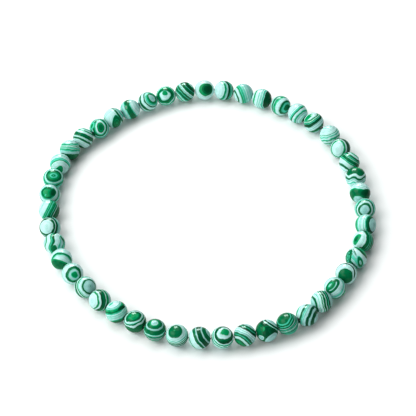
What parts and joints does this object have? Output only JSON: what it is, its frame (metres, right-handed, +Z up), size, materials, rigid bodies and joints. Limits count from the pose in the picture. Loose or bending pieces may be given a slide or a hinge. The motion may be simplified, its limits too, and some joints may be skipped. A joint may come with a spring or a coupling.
{
  "type": "beaded stretch bracelet",
  "caption": "Stretch bracelet of small round banded green and white stone beads on a clear elastic cord, lying flat in a closed loop.",
  "frame": {"origin": "on the surface that the bracelet lies on, at the middle of its box", "axes": "+Z up, through the wrist opening; +Y away from the picture's camera, +X to the picture's right"},
  "size_m": [0.0648, 0.0664, 0.004],
  "materials": {
    "banded_stone": "polished",
    "clear_elastic": "glossy"
  },
  "bodies": {
    "root": {"bead_01": "banded_stone", "bead_02": "banded_stone", "bead_03": "banded_stone", "bead_04": "banded_stone", "bead_05": "banded_stone", "bead_06": "banded_stone", "bead_07": "banded_stone", "bead_08": "banded_stone", "bead_09": "banded_stone", "bead_10": "banded_stone", "bead_11": "banded_stone", "bead_12": "banded_stone", "bead_13": "banded_stone", "bead_14": "banded_stone", "bead_15": "banded_stone", "bead_16": "banded_stone", "bead_17": "banded_stone", "bead_18": "banded_stone", "bead_19": "banded_stone", "bead_20": "banded_stone", "bead_21": "banded_stone", "bead_22": "banded_stone", "bead_23": "banded_stone", "bead_24": "banded_stone", "bead_25": "banded_stone", "bead_26": "banded_stone", "bead_27": "banded_stone", "bead_28": "banded_stone", "bead_29": "banded_stone", "bead_30": "banded_stone", "bead_31": "banded_stone", "bead_32": "banded_stone", "bead_33": "banded_stone", "bead_34": "banded_stone", "bead_35": "banded_stone", "bead_36": "banded_stone", "bead_37": "banded_stone", "bead_38": "banded_stone", "bead_39": "banded_stone", "bead_40": "banded_stone", "bead_41": "banded_stone", "bead_42": "banded_stone", "bead_43": "banded_stone", "bead_44": "banded_stone", "bead_45": "banded_stone", "bead_46": "banded_stone", "bead_47": "banded_stone", "elastic_cord": "clear_elastic"}
  },
  "joints": []
}
